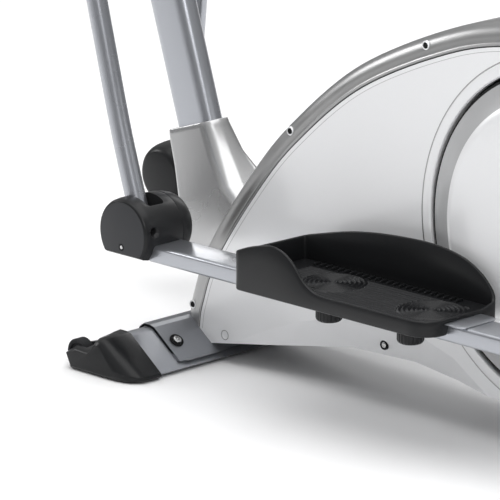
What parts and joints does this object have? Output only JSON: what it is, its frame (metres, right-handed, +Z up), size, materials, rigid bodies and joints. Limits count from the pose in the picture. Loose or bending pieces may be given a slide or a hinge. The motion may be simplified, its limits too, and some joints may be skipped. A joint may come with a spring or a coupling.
{
  "type": "elliptical trainer",
  "caption": "Rear-drive elliptical cross trainer with swinging handlebars, raised foot pedals and a domed flywheel housing.",
  "frame": {"origin": "centre of the bounding box on the floor, under the machine", "axes": "+X runs to the rear (the user faces -X), +Y to the user's right, +Z up"},
  "size_m": [1.5177, 0.54, 1.5941],
  "materials": {
    "silver_paint": "glossy silver-grey metallic paint",
    "frame_paint": "satin blue-grey metallic paint",
    "shell_silver": "light silver-white painted plastic, semi-gloss",
    "satin_band": "satin mid-grey metallic plastic",
    "black_plastic": "black moulded plastic, fine texture",
    "rubber": "black rubber and foam",
    "steel": "bright zinc-plated steel",
    "cast_iron": "turned cast iron",
    "screen": "dark display window"
  },
  "bodies": {
    "frame": {"main_frame": "frame_paint", "mast": "silver_paint", "front_stabiliser": "frame_paint", "rear_stabiliser": "frame_paint", "front_cap_left": "black_plastic", "front_cap_right": "black_plastic", "rear_cap_left": "black_plastic", "rear_cap_right": "black_plastic", "saddle_bolt_left": "steel", "saddle_bolt_right": "steel", "shell_left": "shell_silver", "shell_right": "shell_silver", "rim_cover": "satin_band", "mast_boot": "shell_silver", "crank_bearing_left": "steel", "crank_bearing_right": "steel", "drive_belt": "rubber", "brake_servo": "black_plastic", "pivot_axle": "steel", "fixed_handlebar": "silver_paint", "pulse_grip_left": "rubber", "pulse_grip_right": "rubber", "console_housing": "black_plastic", "console_screen": "screen"},
    "crank": {"crank_axle": "steel", "drive_pulley": "black_plastic", "crank_disc_left": "shell_silver", "crank_disc_right": "shell_silver", "crank_arm_left": "steel", "crank_arm_right": "steel"},
    "flywheel": {"flywheel": "cast_iron", "flywheel_axle": "steel", "flywheel_pulley": "steel"},
    "brake": {"brake_shoe": "steel"},
    "left_swing": {"swing_arm_left": "silver_paint", "swing_handle_left": "silver_paint", "swing_grip_left": "rubber"},
    "left_pedal_arm": {"pedal_arm_left": "silver_paint", "crank_pin_left": "steel", "knuckle_cover_left": "black_plastic", "pedal_left": "black_plastic"},
    "right_swing": {"swing_arm_right": "silver_paint", "swing_handle_right": "silver_paint", "swing_grip_right": "rubber"},
    "right_pedal_arm": {"pedal_arm_right": "silver_paint", "crank_pin_right": "steel", "knuckle_cover_right": "black_plastic", "pedal_right": "black_plastic"},
    "pedal_knob_left_1": {"pedal_knob_left_1": "black_plastic"},
    "pedal_knob_left_2": {"pedal_knob_left_2": "black_plastic"},
    "transport_wheel_left": {"transport_wheel_left": "rubber"},
    "levelling_foot_left": {"levelling_foot_left": "rubber"},
    "pedal_knob_right_1": {"pedal_knob_right_1": "black_plastic"},
    "pedal_knob_right_2": {"pedal_knob_right_2": "black_plastic"},
    "transport_wheel_right": {"transport_wheel_right": "rubber"},
    "levelling_foot_right": {"levelling_foot_right": "rubber"},
    "console_button_1": {"console_button_1": "rubber"},
    "console_button_2": {"console_button_2": "rubber"},
    "console_button_3": {"console_button_3": "rubber"},
    "console_button_4": {"console_button_4": "rubber"}
  },
  "joints": [
    {"name": "crank_turn", "type": "hinge", "parent": "frame", "child": "crank", "pos_m": [0.3174, 0, 0.313], "axis": [0, -1, 0], "range_deg": [0, 180]},
    {"name": "flywheel_spin", "type": "hinge", "parent": "frame", "child": "flywheel", "pos_m": [-0.0046, 0, 0.3], "axis": [0, -1, 0], "range_deg": [0, 1350]},
    {"name": "brake_swing", "type": "hinge", "parent": "frame", "child": "brake", "pos_m": [-0.0206, 0, 0.462], "axis": [0, 1, 0], "range_deg": [0, 6]},
    {"name": "left_arm_swing", "type": "hinge", "parent": "frame", "child": "left_swing", "pos_m": [-0.6376, -0.196, 1.04], "axis": [0, 1, 0], "range_deg": [0, 20.7]},
    {"name": "left_knuckle_turn", "type": "hinge", "parent": "left_swing", "child": "left_pedal_arm", "pos_m": [-0.3997, -0.196, 0.21772], "axis": [0, 1, 0], "range_deg": [-33.2, 0]},
    {"name": "right_arm_swing", "type": "hinge", "parent": "frame", "child": "right_swing", "pos_m": [-0.6376, 0.196, 1.04], "axis": [0, 1, 0], "range_deg": [-20.7, 0]},
    {"name": "right_knuckle_turn", "type": "hinge", "parent": "right_swing", "child": "right_pedal_arm", "pos_m": [-0.70497, 0.196, 0.18665], "axis": [0, 1, 0], "range_deg": [0, 33.2]},
    {"name": "pedal_knob_left_1_turn", "type": "hinge", "parent": "left_pedal_arm", "child": "pedal_knob_left_1", "pos_m": [-0.02178, -0.191, 0.16714], "axis": [0.0016, 0, 1], "continuous": true},
    {"name": "pedal_knob_left_2_turn", "type": "hinge", "parent": "left_pedal_arm", "child": "pedal_knob_left_2", "pos_m": [0.13622, -0.191, 0.16689], "axis": [0.0016, 0, 1], "continuous": true},
    {"name": "transport_wheel_left_spin", "type": "hinge", "parent": "frame", "child": "transport_wheel_left", "pos_m": [-0.4796, -0.247, 0.023], "axis": [0, 1, 0], "continuous": true},
    {"name": "levelling_foot_left_turn", "type": "hinge", "parent": "frame", "child": "levelling_foot_left", "pos_m": [0.6624, -0.238, 0.006], "axis": [0, 0, 1], "continuous": true},
    {"name": "pedal_knob_right_1_turn", "type": "hinge", "parent": "right_pedal_arm", "child": "pedal_knob_right_1", "pos_m": [-0.32505, 0.191, 0.219], "axis": [-0.2148, 0, 0.9767], "continuous": true},
    {"name": "pedal_knob_right_2_turn", "type": "hinge", "parent": "right_pedal_arm", "child": "pedal_knob_right_2", "pos_m": [-0.17073, 0.191, 0.25294], "axis": [-0.2148, 0, 0.9767], "continuous": true},
    {"name": "transport_wheel_right_spin", "type": "hinge", "parent": "frame", "child": "transport_wheel_right", "pos_m": [-0.4796, 0.247, 0.023], "axis": [0, 1, 0], "continuous": true},
    {"name": "levelling_foot_right_turn", "type": "hinge", "parent": "frame", "child": "levelling_foot_right", "pos_m": [0.6624, 0.238, 0.006], "axis": [0, 0, 1], "continuous": true},
    {"name": "console_button_1_press", "type": "slide", "parent": "frame", "child": "console_button_1", "axis": [-0.848, 0, -0.5299], "range_m": [0, 0.0015], "stiffness_N_per_m": 500},
    {"name": "console_button_2_press", "type": "slide", "parent": "frame", "child": "console_button_2", "axis": [-0.848, 0, -0.5299], "range_m": [0, 0.0015], "stiffness_N_per_m": 500},
    {"name": "console_button_3_press", "type": "slide", "parent": "frame", "child": "console_button_3", "axis": [-0.848, 0, -0.5299], "range_m": [0, 0.0015], "stiffness_N_per_m": 500},
    {"name": "console_button_4_press", "type": "slide", "parent": "frame", "child": "console_button_4", "axis": [-0.848, 0, -0.5299], "range_m": [0, 0.0015], "stiffness_N_per_m": 500}
  ],
  "couplings": [
    {"joint": "flywheel_spin", "follows": "crank_turn", "ratio": 7.5},
    {"joint": "left_arm_swing", "follows": "crank_turn", "ratio": 0.11472},
    {"joint": "left_knuckle_turn", "follows": "crank_turn", "ratio": -0.18411},
    {"joint": "right_arm_swing", "follows": "crank_turn", "ratio": -0.11472},
    {"joint": "right_knuckle_turn", "follows": "crank_turn", "ratio": 0.18411}
  ]
}
